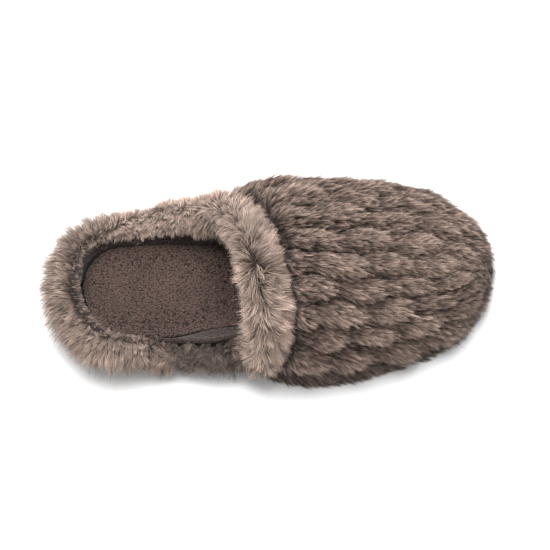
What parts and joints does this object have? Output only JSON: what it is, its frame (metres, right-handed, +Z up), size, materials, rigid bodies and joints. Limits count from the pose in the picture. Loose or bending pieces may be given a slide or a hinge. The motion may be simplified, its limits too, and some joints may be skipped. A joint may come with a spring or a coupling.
{
  "type": "clog slipper",
  "caption": "Plush clog slipper for the right foot with a low heel wall: tufted hollow upper, thick pile cuff round the opening, cushioned insole and thin chevron-tread rubber outsole.",
  "frame": {"origin": "middle of the slipper's bounding box, on the floor under the tread", "axes": "+X towards the toe, +Y towards the inner side of the foot, +Z up"},
  "size_m": [0.2798, 0.1366, 0.0865],
  "materials": {
    "outsole": "matt black moulded rubber",
    "insole": "short taupe fleece over foam",
    "upper": "taupe plush in lengthwise tufts",
    "cuff": "longer pale taupe pile"
  },
  "bodies": {
    "root": {"outsole": "outsole", "insole": "insole", "upper": "upper", "cuff": "cuff"}
  },
  "joints": []
}
